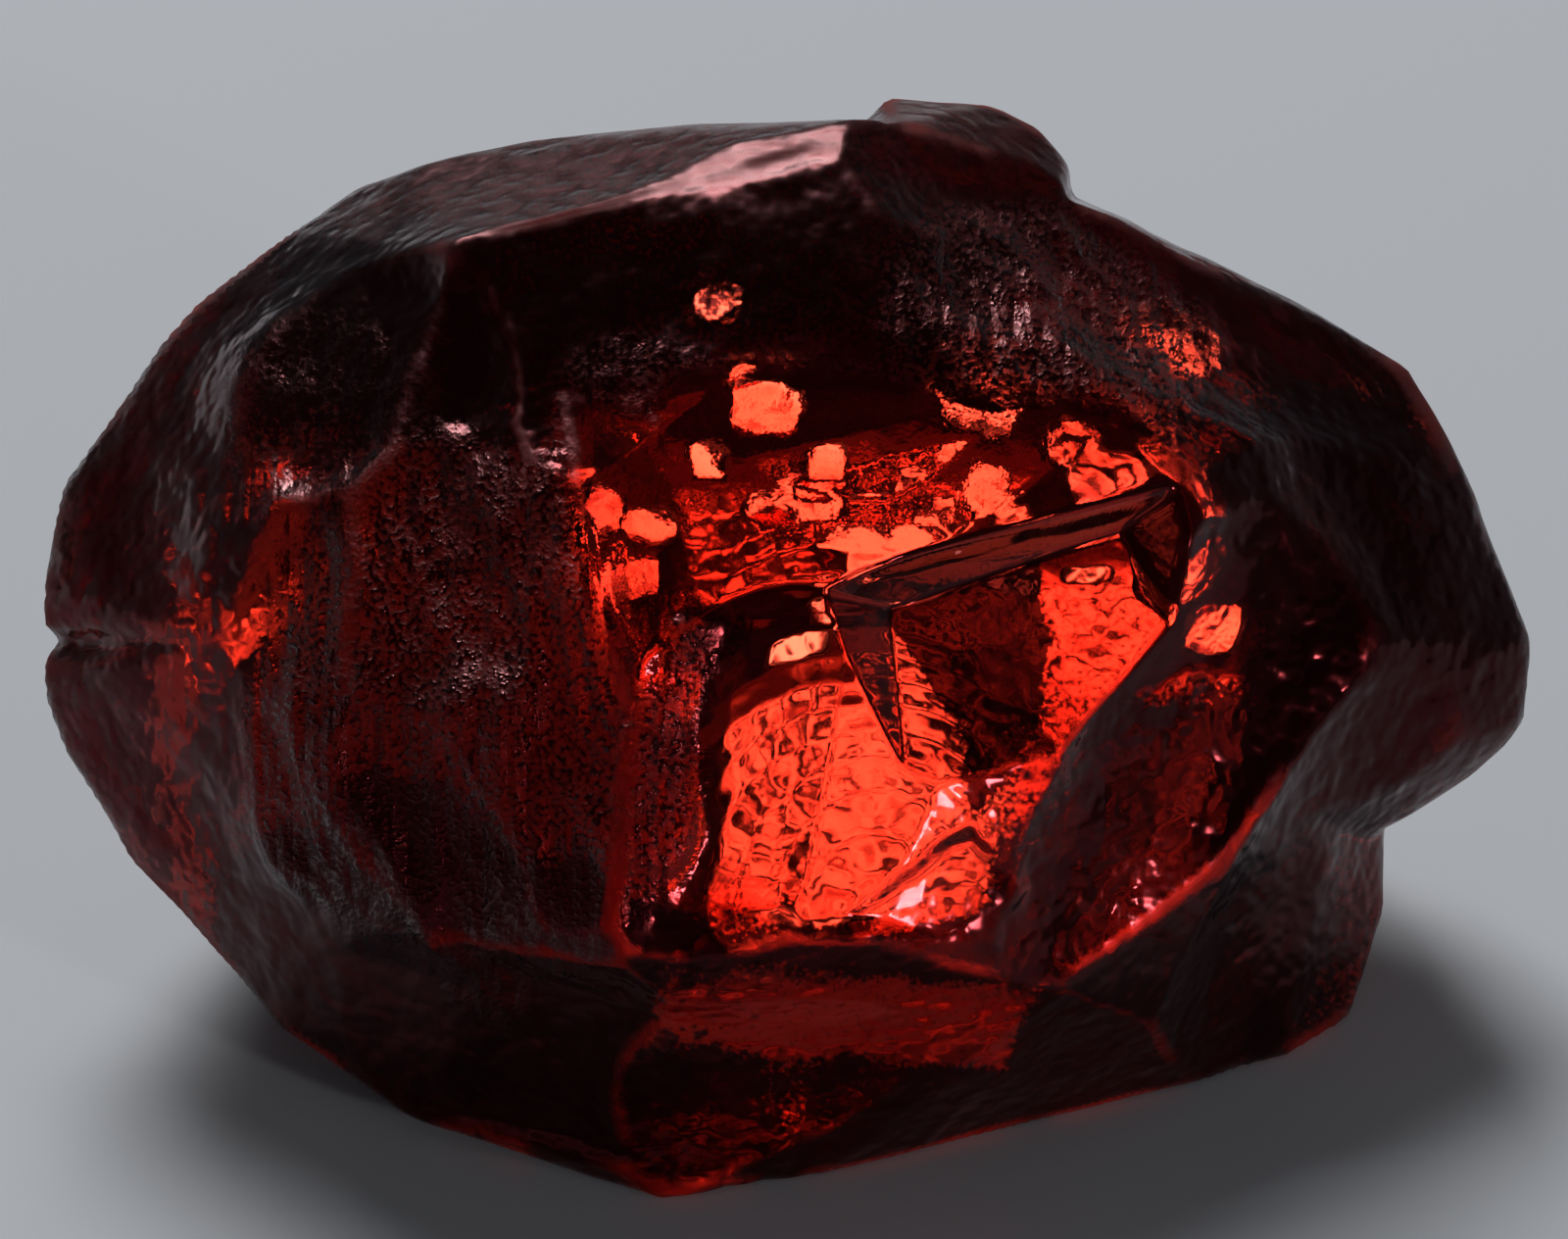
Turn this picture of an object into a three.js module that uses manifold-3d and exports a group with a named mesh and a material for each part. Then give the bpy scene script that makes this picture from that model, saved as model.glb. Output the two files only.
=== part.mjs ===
// Rough painite: one broken piece of a deep red crystal, lying on its flattest break.
//
// The stone is laid out facing the viewer: "across" runs to the right, "up" runs up the stone's face
// and "near" comes out of it. The whole stone then leans back by LEAN, which puts its flattest break on the
// ground. Everything is in millimetres, and the finished part is Z up.

import * as THREE from "three";
import { ConvexGeometry } from "three/addons/geometries/ConvexGeometry.js";
import { mergeVertices } from "three/addons/utils/BufferGeometryUtils.js";
import Module from "manifold-3d";

const wasm = await Module();
wasm.setup();

// ---- Driving dimensions ------------------------------------------------------------------------

const LEAN = THREE.MathUtils.degToRad(32); // how far the face leans back from upright
const GROUND = -3.23; // height of the resting break below the middle of the face
const FUSE = 0.004; // corners closer than this become one
const BALL_DETAIL = 11; // how finely the shell-shaped breaks are divided
const BAR_SIDES = 72; // how finely the fluted breaks are divided
const BAR_LENGTH = 30; // longer than any fluted break
const GROUND_BLOCK = [30, 30, 10]; // what the resting break cuts away: width, depth, height

const STONE_COLOUR = 0x3a0710;
const STONE_ROUGHNESS = 0.22;

// ---- Places ------------------------------------------------------------------------------------

// A direction of the face frame [across, up, near] in the part's frame.
function turned([across, up, near]) {
  return new THREE.Vector3(
    across,
    up * Math.sin(LEAN) - near * Math.cos(LEAN),
    up * Math.cos(LEAN) + near * Math.sin(LEAN),
  );
}

// A place on the stone's face, given in the face frame.
const at = (place) => turned(place).setZ(turned(place).z - GROUND);

// A place on the stone's hidden side, given as [x, y, height over the ground].
const behind = (place) => new THREE.Vector3(...place);

// ---- Solids ------------------------------------------------------------------------------------

// A closed three.js geometry as a solid that can be joined and cut.
function solid(geometry) {
  const bare = new THREE.BufferGeometry().setAttribute("position", geometry.getAttribute("position"));
  if (geometry.index) bare.setIndex(geometry.index);
  const merged = mergeVertices(bare, 1e-4);
  return new wasm.Manifold(
    new wasm.Mesh({
      numProp: 3,
      vertProperties: merged.getAttribute("position").array,
      triVerts: new Uint32Array(merged.index.array),
    }),
  );
}

// The convex lump whose corners are these points.
const lump = (...corners) => solid(new ConvexGeometry(corners.flat()));

// The cutter of a shell-shaped break: a ball that dips "depth" below the surface at a point which looks
// towards "facing".
function ball(point, facing, radius, depth) {
  const middle = point.clone().addScaledVector(facing.clone().normalize(), radius - depth);
  return solid(new THREE.IcosahedronGeometry(radius, BALL_DETAIL).translate(...middle));
}

// The cutter of a fluted break: a long round bar laid on the surface along a direction, "depth" deep. It
// leaves a hollow that is curved one way and straight the other.
function flute(point, facing, along, radius, depth) {
  const course = along.clone().normalize();
  const out = facing.clone().addScaledVector(course, -facing.dot(course)).normalize();
  const turn = new THREE.Quaternion().setFromUnitVectors(new THREE.Vector3(0, 1, 0), course);
  const bar = new THREE.CylinderGeometry(radius, radius, BAR_LENGTH, BAR_SIDES).applyQuaternion(turn);
  return solid(bar.translate(...point.clone().addScaledVector(out, radius - depth)));
}

const faceBall = ([point, facing, radius, depth]) => ball(at(point), turned(facing), radius, depth);

const hiddenBall = ([point, facing, radius, depth]) => ball(behind(point), behind(facing), radius, depth);

const faceFlute = ([point, facing, along, radius, depth]) =>
  flute(at(point), turned(facing), turned(along), radius, depth);

const hiddenFlute = ([point, facing, along, radius, depth]) =>
  flute(behind(point), behind(facing), behind(along), radius, depth);

// ---- Corners of the main body ------------------------------------------------------------------

// The long ridge under the top shelf, and the shelf's far edge.
const ridge = [[-2.56, 3.1, 1.45], [0.73, 4.08, 0.85]];
const shelfEdge = [[-2.96, 3.8, -0.5], [-2.09, 4.0, -0.6], [-0.84, 4.12, -0.5], [0.42, 4.17, -0.4]];
const shoulder = [[-4.88, 2.67, -0.6], [-4.29, 3.25, -0.8], [-3.58, 3.61, -0.9]];

// The left end, from its thin crest out to its rim.
const crest = [[-4.45, 0.0, 1.35], [-3.98, 0.86, 1.65], [-3.58, 1.57, 1.7], [-2.96, 1.96, 1.75]];
const leftRim = [[-5.39, 1.73, -0.6], [-5.86, 1.25, -0.5], [-5.98, 0.47, -0.3], [-6.0, -0.51, -0.3]];
const leftFoot = [[-5.86, -0.94, -0.3], [-5.31, -1.73, -0.2], [-4.64, -2.51, -0.1], [-4.13, -3.1, 0.1]];

// The rough middle of the face, with the jagged arris at its right.
const arris = [[-1.7, 1.92, 2.0], [-1.55, 0.94, 2.6], [-1.19, -0.31, 3.1], [-1.25, -2.27, 2.95]];
const roughFront = [[-3.35, -0.39, 2.2], [-3.19, -1.41, 2.2], [-1.6, -3.2, 2.2]];

// The glassy window right of the arris, and the brow over it.
const pane = [[0.85, 0.53, 2.6], [1.4, -0.6, 2.45], [1.6, -1.5, 2.25], [2.1, -2.75, 1.6], [0.57, -2.35, 2.6]];
const brow = [[0.49, 2.12, 1.9], [2.69, 1.73, 1.5], [3.12, 1.35, 1.45]];

// The edge that the right-hand lobe grows from.
const root = [[3.12, 1.35, 1.45], [3.55, 0.08, 1.4], [3.5, -1.2, 1.3]];
const cheek = [[4.4, -1.75, -0.6], [4.81, -2.2, -1.0], [4.49, -3.1, -1.13], [3.36, -2.7, 0.5]];
const foot = [
  [3.87, -3.45, -0.57],
  [1.98, -3.76, -0.06],
  [0.18, -4.27, 0.75],
  [-1.0, -4.47, 0.92],
  [-2.96, -3.84, 0.4],
];
const upperRight = [[3.4, 3.06, -0.6], [3.71, 2.81, -0.6], [5.0, 2.2, -0.9]];

// The hidden side, from the top down: a wall that leans a little towards the viewer.
const backTop = [[-3.6, 2.9, 5.2], [-1.2, 3.2, 5.7], [1.6, 3.2, 5.8], [3.6, 2.6, 4.9]];
const backMiddle = [[-4.9, 1.7, 2.9], [-2.7, 3.4, 3.1], [0.8, 3.85, 3.3], [3.2, 3.4, 2.9], [4.9, 1.9, 2.7]];
const backFoot = [[-3.3, 3.2, 0], [-2.1, 4.6, 0], [1.9, 4.9, 0], [3.8, 3.2, 0]];
const backHeel = [[-3.6, 2.6, 0.7], [4.2, 2.5, 0.7]];

const body = lump(
  [ridge, shelfEdge, shoulder, crest, leftRim, leftFoot, arris, roughFront].flat().map(at),
  [pane, brow, root, cheek, foot, upperRight].flat().map(at),
  [backTop, backMiddle, backFoot, backHeel].flat().map(behind),
);

// ---- Lumps that stand out of the body ------------------------------------------------------------

const hump = lump(
  [[0.55, 4.1, -0.2], [0.77, 4.37, -0.6], [1.59, 4.31, -0.6], [1.98, 4.12, -0.5], [2.25, 3.8, -0.4]].map(at),
  [[0.8, 4.05, 0.6], [1.2, 3.5, 1.1], [2.1, 3.15, 0.95], [1.0, 3.4, -2.0], [2.3, 3.2, -1.9]].map(at),
);

const rightLobe = lump(
  [...root, [5.0, 2.26, -0.8], [5.14, 1.96, -0.7], [5.71, 0.63, -0.8], [6.0, -0.04, -0.7]].map(at),
  [[5.95, -0.71, -0.8], [5.59, -1.1, -0.9], [5.0, -1.48, -0.8], [4.4, -1.75, -0.6]].map(at),
  [[4.7, 1.0, -2.6], [5.1, -0.4, -2.4], [4.2, -1.4, -2.6], [2.0, 0.0, -1.0]].map(at),
);

// ---- Breaks ------------------------------------------------------------------------------------

// Steps: the cut falls from the lip to the bottom line and runs out at the far line. "outside" closes the
// cutter clear of the surface.
const steps = [
  // under the ledge that crosses the window
  {
    lip: [[0.15, 0.38, 2.8], [3.2, 1.3, 1.6]],
    bottom: [[0.75, 0.22, 2.2], [2.6, 0.85, 1.35]],
    far: [[0.9, -1.3, 2.65], [3.3, -0.5, 1.5]],
    outside: [[0.6, 0.0, 3.6], [3.4, 0.5, 2.8]],
  },
  // the dark step along the foot
  {
    lip: [[-3.9, -2.1, 1.3], [-2.5, -2.4, 2.3], [-0.9, -2.6, 2.9]],
    bottom: [[-3.7, -2.45, 1.0], [-2.4, -2.75, 1.7], [-1.0, -2.95, 2.1]],
    far: [[-3.4, -3.6, 0.3], [-0.9, -4.2, 1.2]],
    outside: [[-3.9, -3.0, 2.6], [-0.9, -3.4, 3.2]],
  },
  // the groove that splits the left end
  {
    lip: [[-6.4, 0.2, -0.4], [-5.3, 0.15, 0.6]],
    bottom: [[-5.85, -0.04, -0.5], [-4.4, 0.0, 1.45]],
    far: [[-6.4, -0.25, -0.4], [-5.3, -0.3, 0.6]],
    outside: [[-6.4, 0.0, 0.6], [-5.0, 0.0, 2.0]],
  },
].map(({ lip, bottom, far, outside }) => lump([...lip, ...bottom, ...far, ...outside].map(at)));

// Flutes: a place, the way it looks, the way it runs, the bar's radius and its depth.
const faceFlutes = [
  // the dark wall under the ridge
  [[-0.9, 2.75, 1.65], [-0.1, 0.42, 0.9], [1, 0.28, -0.1], 6.5, 0.1],
  // the rough middle, left to right
  [[-3.85, 0.2, 1.85], [-0.6, 0.1, 0.8], [0.5, 1, 0.25], 1.9, 0.16],
  [[-2.85, 0.4, 2.3], [-0.4, 0.15, 0.92], [0.2, 1, -0.2], 1.6, 0.2],
  [[-2.05, 0.3, 2.65], [-0.45, 0.1, 0.93], [-0.25, 1, -0.3], 0.8, 0.14],
  [[-3.0, -1.5, 2.3], [-0.4, -0.2, 0.9], [-0.35, 1, 0.1], 2.0, 0.24],
  [[-1.85, -1.5, 2.8], [-0.3, -0.1, 0.95], [0.12, 1, 0.08], 1.1, 0.16],
  // the window, its right edge and the slope over it
  [[-0.25, -0.9, 3.0], [0.1, 0, 1], [0.25, 1, 0], 2.4, 0.3],
  [[0.3, 1.4, 2.35], [0.1, 0.5, 0.85], [1, 0.25, -0.3], 3.0, 0.14],
  [[2.4, -2.0, 1.75], [0.5, -0.2, 0.86], [0.6, 1, -0.3], 2.6, 0.2],
  // the right-hand lobe
  [[4.5, 0.9, 0.6], [0.66, 0.35, 0.66], [-0.35, 1, -0.1], 3.2, 0.26],
  [[4.75, -0.75, 0.25], [0.6, -0.35, 0.7], [0.5, 1, 0.1], 2.6, 0.14],
  // over the right shoulder
  [[3.2, 2.4, 0.45], [0.45, 0.65, 0.6], [1, -0.5, -0.3], 2.6, 0.2],
  // the left end, above and below its groove
  [[-5.2, 1.0, 0.45], [-0.7, 0.25, 0.68], [-0.2, 1, -0.6], 3.0, 0.16],
  [[-5.0, -1.5, 0.45], [-0.65, -0.3, 0.7], [0.6, -1, 0.1], 3.0, 0.18],
  // the foot
  [[0.3, -3.5, 1.65], [0.1, -0.65, 0.75], [1, 0.1, 0], 2.2, 0.24],
  [[3.6, -2.8, 0.3], [0.6, -0.5, 0.6], [0.3, 1, 0.5], 3.4, 0.2],
].map(faceFlute);

const hiddenFlutes = [
  [[-2.2, 3.3, 4.4], [-0.25, 0.9, 0.35], [1, 0.1, 0.3], 2.8, 0.3],
  [[3.0, 3.3, 3.6], [0.45, 0.9, 0.25], [-0.3, 0.2, 1], 2.4, 0.2],
  [[-4.0, 2.5, 3.6], [-0.7, 0.65, 0.3], [0.2, 0.2, 1], 2.2, 0.2],
  [[-2.4, 3.5, 1.4], [-0.4, 0.9, 0.05], [0.3, 0.15, 1], 2.6, 0.2],
  [[5.1, 2.1, 3.0], [0.8, 0.6, 0.1], [0.15, -0.1, 1], 2.4, 0.12],
].map(hiddenFlute);

// Shells: a place, the way it looks, the ball's radius and its depth.
const faceBalls = [
  [[-3.6, 2.45, 1.05], [-0.5, 0.28, 0.82], 2.5, 0.3], // the black hollow over the left crest
  [[-2.8, 2.4, 1.6], [-0.3, 0.22, 0.93], 2.2, 0.2],
  [[1.6, 2.9, 1.2], [0.25, 0.5, 0.8], 1.8, 0.2], // under the hump
  [[-1.0, 1.2, 2.65], [0.1, 0.3, 0.95], 1.6, 0.14], // over the arris
].map(faceBall);

const hiddenBalls = [
  [[1.0, 3.5, 5.0], [0.1, 0.75, 0.65], 2.2, 0.24],
  [[0.6, 4.3, 1.7], [0.05, 1, 0.3], 9.0, 0.1],
].map(hiddenBall);

const breaks = [...steps, ...faceFlutes, ...hiddenFlutes, ...faceBalls, ...hiddenBalls];

const ground = solid(new THREE.BoxGeometry(...GROUND_BLOCK).translate(0, 0, -GROUND_BLOCK[2] / 2));

// ---- The finished part -------------------------------------------------------------------------

const stone = wasm.Manifold.union([body, hump, rightLobe])
  .subtract(wasm.Manifold.union([...breaks, ground]))
  .simplify(FUSE);

function geometryOf(made) {
  const mesh = made.getMesh();
  const corners = new Float32Array(mesh.numVert * 3);
  for (let i = 0; i < mesh.numVert; i += 1) {
    for (let k = 0; k < 3; k += 1) corners[3 * i + k] = mesh.vertProperties[mesh.numProp * i + k];
  }
  const geometry = new THREE.BufferGeometry();
  geometry.setAttribute("position", new THREE.BufferAttribute(corners, 3));
  geometry.setIndex(new THREE.BufferAttribute(new Uint32Array(mesh.triVerts), 1));
  return geometry;
}

// The middle of the stone's box goes over the origin.
const shape = geometryOf(stone);
shape.computeBoundingBox();
const middle = shape.boundingBox.getCenter(new THREE.Vector3());
shape.translate(-middle.x, -middle.y, 0);

const crystal = new THREE.Mesh(
  shape,
  new THREE.MeshStandardMaterial({ color: STONE_COLOUR, roughness: STONE_ROUGHNESS, metalness: 0 }),
);
crystal.name = "painite_crystal";

const part = new THREE.Group();
part.add(crystal);
export default part;
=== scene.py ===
"""Rough painite: the finish of the stone, its floor, lights and camera.

The stone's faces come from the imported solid. A closed grid is carried out onto them and broken up with
chips, striations and grain. Clear crystal with a deep red absorption fills it, and flat fractures lie in it.
"""

import math

import bmesh
import bpy
import numpy as np
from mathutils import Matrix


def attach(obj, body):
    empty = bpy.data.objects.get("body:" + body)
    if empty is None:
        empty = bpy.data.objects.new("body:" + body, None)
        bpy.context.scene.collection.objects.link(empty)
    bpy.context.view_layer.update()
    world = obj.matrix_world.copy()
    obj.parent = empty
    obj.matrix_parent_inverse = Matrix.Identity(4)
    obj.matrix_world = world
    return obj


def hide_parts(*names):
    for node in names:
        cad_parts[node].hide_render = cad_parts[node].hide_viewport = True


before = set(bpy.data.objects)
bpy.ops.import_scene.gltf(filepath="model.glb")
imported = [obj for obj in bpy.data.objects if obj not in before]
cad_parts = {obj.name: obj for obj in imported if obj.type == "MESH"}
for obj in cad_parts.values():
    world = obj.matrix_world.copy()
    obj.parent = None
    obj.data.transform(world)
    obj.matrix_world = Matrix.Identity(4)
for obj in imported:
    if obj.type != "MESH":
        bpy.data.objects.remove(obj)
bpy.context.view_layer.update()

bl_info = {
    "name": "Rough painite",
    "version": (1, 0, 0),
    "blender": (4, 5, 0),
    "location": "3D View > Sidebar > Painite",
    "description": "Builds a rough painite crystal with its floor, lights and camera",
    "category": "Add Mesh",
}

MM = 0.001
NODE = "painite_crystal"

# The stone's face leans back by LEAN. "across" is +X, "up" runs up the face and "near" comes out of it.
LEAN = math.radians(32.0)
FACE_MIDDLE = (0.0, -0.6072, 3.23)  # mm: where across, up and near are all 0
AIM = (-0.055, 0.141, 0.0)  # mm, face frame: what the camera looks at
FLOOR_GAP = 0.02 * MM  # the stone touches the floor at a few points, so most of its break has air under it
GRID_HEART = (0.1, -0.35, -0.5)  # mm, face frame: the point that the grid is carried out from
GRID_START = 0.2  # mm: the grid's radius before it is carried out
CLOSER = 0.35  # how much finer the grid is on the face than round the back
ARC_HEART = (0.57, -2.0, 2.3)  # mm, face frame: the middle of the window's arcs
ARC_STEP = 0.21  # mm between arcs
ARC_REACH = ((0.6, -0.9, 2.6), (1.5, 1.9, 1.6))  # mm, face frame: middle and half-axes of where they show
RIDGE = ((-2.56, 3.1, 1.45), (0.73, 4.08, 0.85))  # mm, face frame: the two ends of the long ridge
BEVEL_FACING = (-0.12, -0.17, 0.98)  # the way that the ridge's worn edge looks
BEVEL_DEPTH = 0.03  # mm worn off it
SILL = (-3.7, 2.1, 1.2)  # mm, face frame: a low swelling in the hollow at the upper left
SILL_REACH = (1.4, 0.95, 2.5)  # mm: its half-axes
SILL_HEIGHT = 0.2  # mm
SPARK = (0.75, -2.05)  # mm, across and up: the top of the small smooth break at the foot of the window
SPARK_SLOPE = (-0.407, 0.124)  # how fast the small break falls away from "near", across and up
SPARK_RADIUS = 11.0  # mm
SPARK_OUTLINE = ((0.45, -2.15), (1.6, -2.45), (1.8, -1.95), (1.4, -1.5))
SPARK_RIM = 0.14  # mm: how wide its rim is
LEANING = np.array([[0.97, -0.24, 0.0], [0.24, 0.97, 0.0], [0.0, 0.0, 1.0]])  # the grain leans to the left

# The flat fractures inside, near to level. Each: its middle (x, y, height), its half-width and half-depth,
# how far its normal leans to +X and +Y, and how square it is (2 is an ellipse), in mm and degrees.
FRACTURES = (
    ((-0.30, 0.10, 4.45), (0.22, 0.32), (-4.0, -8.0), 6.0),
    ((0.15, -0.40, 4.10), (0.20, 0.30), (0.0, -4.0), 6.0),
    ((-0.70, -0.20, 4.05), (0.16, 0.24), (0.0, 0.0), 4.0),
    ((-0.05, -0.10, 3.50), (0.42, 0.20), (-4.0, -4.0), 3.0),
    ((0.80, 0.50, 2.75), (0.18, 0.32), (-4.0, 0.0), 5.0),
    ((1.15, 0.80, 2.85), (0.16, 0.36), (0.0, 4.0), 5.0),
    ((0.55, -0.65, 3.55), (0.50, 0.26), (0.0, 0.0), 2.2),
    ((0.00, -0.85, 3.30), (0.40, 0.20), (-4.0, 0.0), 4.0),
    ((-1.20, -0.60, 3.70), (0.26, 0.20), (0.0, 0.0), 2.4),
    ((-0.50, 0.85, 4.95), (0.20, 0.26), (-4.0, 0.0), 2.4),
    ((2.00, 1.10, 3.10), (0.36, 0.48), (12.0, 0.0), 2.6),
    ((-1.55, -0.45, 3.65), (0.14, 0.24), (0.0, 0.0), 3.0),
    ((-1.30, -1.00, 3.55), (0.20, 0.26), (-8.0, -12.0), 3.0),
    ((-1.35, -1.20, 3.10), (0.12, 0.34), (0.0, 0.0), 3.0),
    ((2.65, 1.20, 4.15), (0.24, 0.42), (16.0, 8.0), 3.0),
    ((1.20, 1.05, 3.55), (0.22, 0.36), (0.0, 0.0), 5.0),
    ((0.85, -0.35, 3.40), (0.24, 0.28), (0.0, -4.0), 5.0),
    ((2.80, -0.05, 3.10), (0.38, 0.36), (16.0, -12.0), 4.0),
    ((1.40, -0.15, 3.10), (0.24, 0.16), (4.0, 0.0), 5.0),
    ((-3.25, 1.75, 1.80), (0.24, 0.48), (-16.0, 8.0), 3.0),
    ((-2.20, -0.60, 3.20), (0.22, 0.20), (-16.0, -12.0), 3.0),
    ((2.05, -0.10, 3.20), (0.22, 0.12), (0.0, 0.0), 4.0),
    ((-1.50, -0.55, 3.00), (0.24, 0.42), (0.0, -16.0), 3.0),
    ((-0.15, -2.90, 2.00), (0.58, 0.20), (-8.0, 0.0), 4.0),
)
FRACTURE_GAP = 0.005  # mm: how far a fracture has opened, each way from its middle

# Where the face is hackly: left of the arris, under the ridge, over the window, under the hump and in the
# hollow at the upper left. Each: how much, then the middle and half-axes of a patch in mm, and its seed.
HACKLY = (
    (1.0, (-2.5, -0.7, 2.0), (1.9, 2.2, 2.6), 3),
    (0.3, (-1.1, 1.6, 2.2), (0.9, 0.9, 1.6), 5),
    (0.35, (0.6, 1.5, 2.0), (1.6, 0.8, 1.6), 4),
    (0.6, (2.0, 2.5, 0.9), (1.5, 1.2, 1.6), 6),
    (0.3, (-3.7, 1.7, 1.2), (1.0, 1.0, 1.8), 10),
)
# Where the key light comes in: the upper back and the heel behind the stone's foot. Each: middle and
# half-axes, in mm.
LIT_BACK = (((0.2, 2.6, 5.2), (1.8, 1.4, 1.9)), ((0.2, 3.8, 0.8), (2.4, 1.0, 1.4)))

# Painted shade on the face: black put where little light gets through the stone, and clear where it glows.
# Each: an outline (across, up), anticlockwise, how soft its rim is, in mm, and the darkness, where 0 is clear
# and 1 is black. Later ones lie over earlier ones. The part that lies inside all the sides of an outline
# counts.
PAINTED_SHADE_AREAS = (
    (((-5.9, -2.0), (-4.4, -2.6), (-3.6, 1.6), (-5.6, 1.7)), 0.8, 0.2),
    (((-3.6, -2.2), (-0.9, -2.4), (-0.9, 2.0), (-2.4, 2.2), (-3.9, 1.2)), 0.8, 0.52),
    (((-4.4, 1.6), (-2.2, 1.7), (-2.3, 3.2), (-4.0, 3.3)), 0.5, 0.9),
    (((-2.2, 1.9), (0.4, 2.4), (0.6, 3.9), (-2.4, 3.2)), 0.5, 0.66),
    (((-4.6, -4.6), (0.2, -4.8), (-0.6, -2.4), (-3.2, -1.2), (-4.6, -2.0)), 0.7, 1.2),
    (((0.2, -4.8), (4.8, -3.6), (4.2, -1.6), (2.2, -1.2), (0.2, -2.7)), 0.6, 1.2),
    (((3.2, -1.4), (6.4, -1.9), (6.4, 1.2), (4.6, 2.4), (3.4, 1.3)), 0.6, 1.1),
    (((2.4, -1.4), (4.0, -1.4), (4.0, -0.5), (2.4, -0.5)), 0.5, 0.9),
    (((0.5, 1.9), (2.6, 1.6), (3.2, 2.2), (0.8, 3.6)), 0.5, 0.6),
    (((-0.9, -2.3), (0.2, -2.2), (1.6, -2.6), (1.3, 0.1), (0.0, 0.3), (-0.7, -0.6)), 0.45, -0.25),
    (((-1.3, 0.2), (0.4, 0.2), (3.4, 1.0), (2.6, 1.8), (0.0, 2.2), (-1.2, 1.9)), 0.4, 0.22),
    (((1.9, -0.4), (3.6, -0.4), (3.7, 0.7), (1.9, 0.8)), 0.4, 0.36),
    (((0.7, 0.2), (1.2, -0.6), (1.95, -0.5), (1.9, 0.55)), 0.2, 1.5),
    (((1.4, -1.4), (2.1, -0.5), (1.9, -0.2), (1.2, -0.4)), 0.3, 0.95),
    (((-1.6, -2.65), (0.5, -2.45), (0.6, -2.2), (-1.2, -2.35)), 0.2, 0.95),
    (((-1.2, -3.2), (1.7, -3.4), (1.9, -2.75), (0.5, -2.6), (-1.0, -2.6)), 0.3, 0.3),
    (((2.25, -2.7), (3.7, -2.7), (3.7, -0.8), (2.25, -0.8)), 0.35, 1.2),
    (((-1.25, -0.5), (-0.85, -0.3), (-0.95, 1.6), (-1.75, 1.9), (-1.6, 0.4)), 0.3, 0.25),
    (((1.8, 2.6), (4.8, 1.9), (5.2, 2.6), (2.4, 3.9)), 0.4, 0.2),
)
# The lips that are frosted and painted pink as a highlight: the right end of the ledge over the window and
# the arris. Outline and softness.
FROSTED_LIPS_WITH_PAINTED_HIGHLIGHT = (
    (((2.1, 0.75), (3.1, 1.0), (3.05, 1.35), (2.2, 1.15)), 0.25),
    (((-1.3, -0.6), (-1.15, -0.4), (-1.6, 1.9), (-1.8, 1.9)), 0.1),
)
# The clear part of the face, where the skin is calm: the window, the ledge over it, its right side and the
# arris. The first outline also paints the window near white, a painted glow that lets the light through
# undimmed. Outline and softness.
CLEAR = (
    (((-0.9, -2.3), (0.2, -2.2), (1.9, -2.9), (1.6, -0.9), (1.2, 0.2), (0.0, 0.3), (-0.7, -0.6)), 0.4),
    (((-1.2, 0.1), (0.3, 0.1), (3.4, 0.9), (2.6, 1.7), (0.0, 2.1), (-1.0, 1.9)), 0.2),
    (((1.9, -0.4), (3.7, -0.4), (3.7, 0.7), (1.9, 0.8)), 0.3),
    (((-1.25, -0.5), (-0.85, -0.3), (-0.95, 1.6), (-1.75, 1.9), (-1.6, 0.4)), 0.25),
)

# The skin's colours, and how fine its threads and slivers are, for each millimetre across, along "near" and
# up. The slivers run straight up the face.
SKIN_RED = (0.9, 0.16, 0.1, 1.0)
# Painted glow: near white in the window and where the key light comes in, so more light shows through.
PAINTED_GLOW_TINT = (1.0, 0.9, 0.85, 1.0)
# Painted shade: black put where little light gets through the stone.
PAINTED_SHADE_BLACK = (0.003, 0.0006, 0.0008, 1.0)
# Painted highlight: pink on outer edges and the frosted lips, standing in for backlit edges that glow.
PAINTED_HIGHLIGHT_PINK = (1.0, 0.22, 0.2, 1.0)
SPECULAR_TINT = (0.45, 0.05, 0.06, 1.0)
THREAD_SCALE = (22.0, 2.2, 22.0)
SLIVER_SCALE = (7.0, 1.9, 0.0)
BUMP_DEPTH = 0.04 * MM

# The lights: azimuth and elevation in degrees, distance and size in metres, and colour.
KEY_LIGHT = (194.0, 50.0, 0.4, (0.175, 0.175), (1.0, 1.0, 1.0))
SIDE_LIGHT = (44.6, 10.9, 0.4, (0.03, 0.03), (1.0, 0.97, 0.95))
LIGHT_AIM = 3.0  # mm: the height that they are aimed at
ROOM_COLOUR = (0.95, 0.98, 1.05, 1.0)
FLOOR_SHAPE = (0.42, 0.16, 0.1)  # metres: the flat part's radius, the sweep's radius and the wall's height


# ---- Places ------------------------------------------------------------------------------------


def face_axes():
    """The rows are the across, up and near directions: X, and Y and Z turned about X by LEAN."""
    s, c = math.sin(LEAN), math.cos(LEAN)
    return np.array([[1.0, 0.0, 0.0], [0.0, s, c], [0.0, -c, s]])


def to_face(points_mm):
    """Row frame to face frame: the offset from FACE_MIDDLE, measured along each face axis."""
    return (points_mm - np.array(FACE_MIDDLE)) @ face_axes().T


def from_face(places_mm):
    """Face frame to row frame: FACE_MIDDLE plus the face axes, each times its coordinate."""
    return np.array(FACE_MIDDLE) + np.asarray(places_mm) @ face_axes()


# ---- Numbers that vary over the stone ----------------------------------------------------------


def scatter(cells, seed):
    """One even random number from -1 to 1 for each whole-numbered cell, by mixing the bits of its indices."""
    h = cells[..., 0] * np.uint32(374761393) + cells[..., 1] * np.uint32(668265263)
    h = h + cells[..., 2] * np.uint32(2246822519) + np.uint32(seed * 7919 + 17)
    h = (h ^ (h >> np.uint32(13))) * np.uint32(1274126177)
    h = (h ^ (h >> np.uint32(15))) * np.uint32(2654435761)
    h = h ^ (h >> np.uint32(16))
    return h.astype(np.float64) / 2147483647.5 - 1.0


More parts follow.
